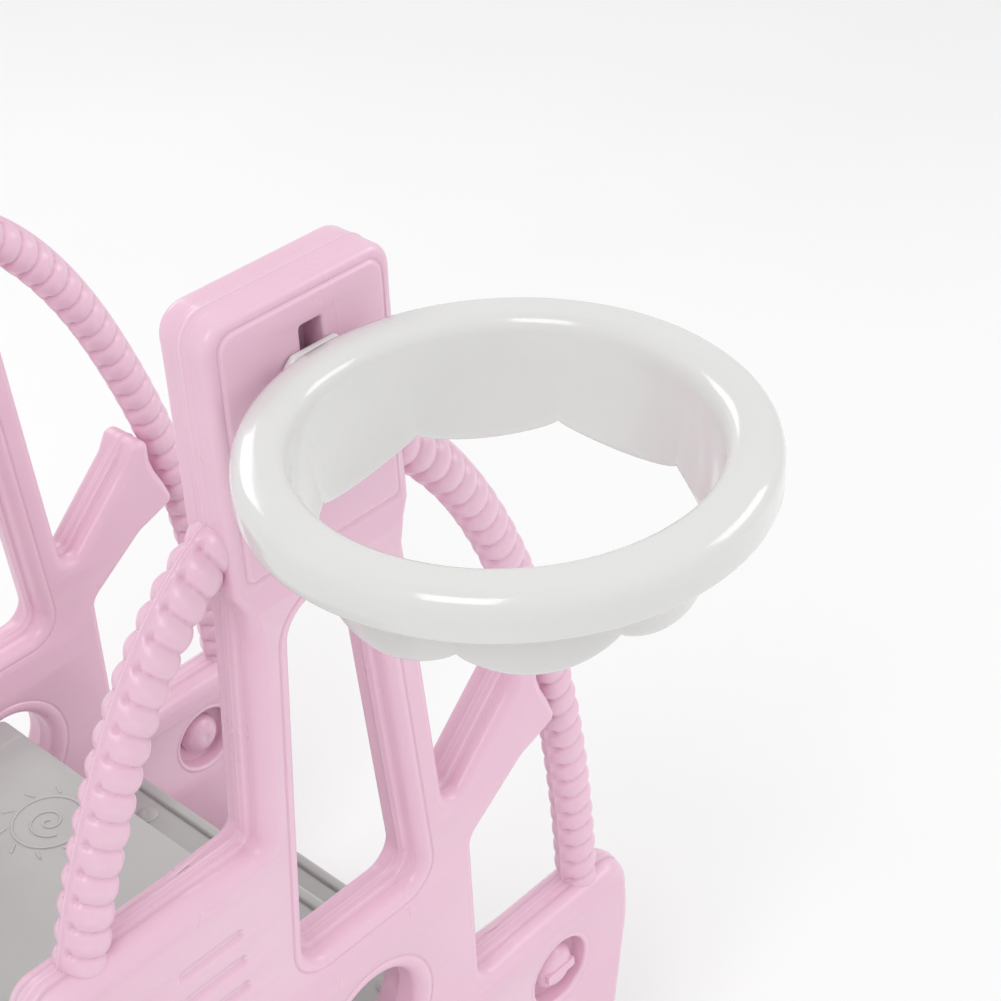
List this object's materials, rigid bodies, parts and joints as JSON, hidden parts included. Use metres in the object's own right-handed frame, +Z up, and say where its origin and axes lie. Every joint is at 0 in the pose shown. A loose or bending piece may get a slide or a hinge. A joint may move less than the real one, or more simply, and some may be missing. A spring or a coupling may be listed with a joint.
{
  "type": "toddler slide",
  "caption": "Small indoor play slide for toddlers with ribbed hand rails, steps, a sloping chute and a lift-off ball hoop on its side panel.",
  "frame": {"origin": "on the floor, below the centre of the whole slide's bounding box", "axes": "+Z up; the chute runs towards -X and the steps towards +X; the hoop side is -Y"},
  "size_m": [1.1674, 0.6668, 0.845],
  "materials": {
    "pink_plastic": "satin blow-moulded polyethylene with soft rounded edges",
    "grey_plastic": "smooth moulded polyethylene, light grey",
    "white_plastic": "glossy moulded plastic",
    "zinc_steel": "zinc-plated screws",
    "dark_rubber": "matte anti-slip rubber"
  },
  "bodies": {
    "slide_frame": {"side_panel_left": "pink_plastic", "side_panel_right": "pink_plastic", "chute_upper": "grey_plastic", "chute_lower": "grey_plastic", "tread_upper": "grey_plastic", "tread_lower": "grey_plastic", "base_bar": "grey_plastic", "panel_bolts": "pink_plastic", "chute_screws": "zinc_steel", "tread_plugs": "grey_plastic", "foot_pads": "dark_rubber"},
    "hoop": {"hoop": "white_plastic"},
    "knob_step_left": {"turn_knob_step_left": "pink_plastic", "knob_nut_step_left": "pink_plastic"},
    "knob_step_right": {"turn_knob_step_right": "pink_plastic", "knob_nut_step_right": "pink_plastic"},
    "knob_slide_left": {"turn_knob_slide_left": "pink_plastic", "knob_nut_slide_left": "pink_plastic"},
    "knob_slide_right": {"turn_knob_slide_right": "pink_plastic", "knob_nut_slide_right": "pink_plastic"}
  },
  "joints": [
    {"name": "hoop_lift", "type": "slide", "parent": "slide_frame", "child": "hoop", "axis": [0, 0, 1], "range_m": [0, 0.01]},
    {"name": "knob_turn_step_left", "type": "hinge", "parent": "slide_frame", "child": "knob_step_left", "pos_m": [0.50873, -0.05841, 0.235], "axis": [0, -1, 0], "range_deg": [0, 90]},
    {"name": "knob_turn_step_right", "type": "hinge", "parent": "slide_frame", "child": "knob_step_right", "pos_m": [0.50873, 0.30959, 0.235], "axis": [0, 1, 0], "range_deg": [0, 90]},
    {"name": "knob_turn_slide_left", "type": "hinge", "parent": "slide_frame", "child": "knob_slide_left", "pos_m": [0.17873, -0.05841, 0.235], "axis": [0, -1, 0], "range_deg": [0, 90]},
    {"name": "knob_turn_slide_right", "type": "hinge", "parent": "slide_frame", "child": "knob_slide_right", "pos_m": [0.17873, 0.30959, 0.235], "axis": [0, 1, 0], "range_deg": [0, 90]}
  ]
}
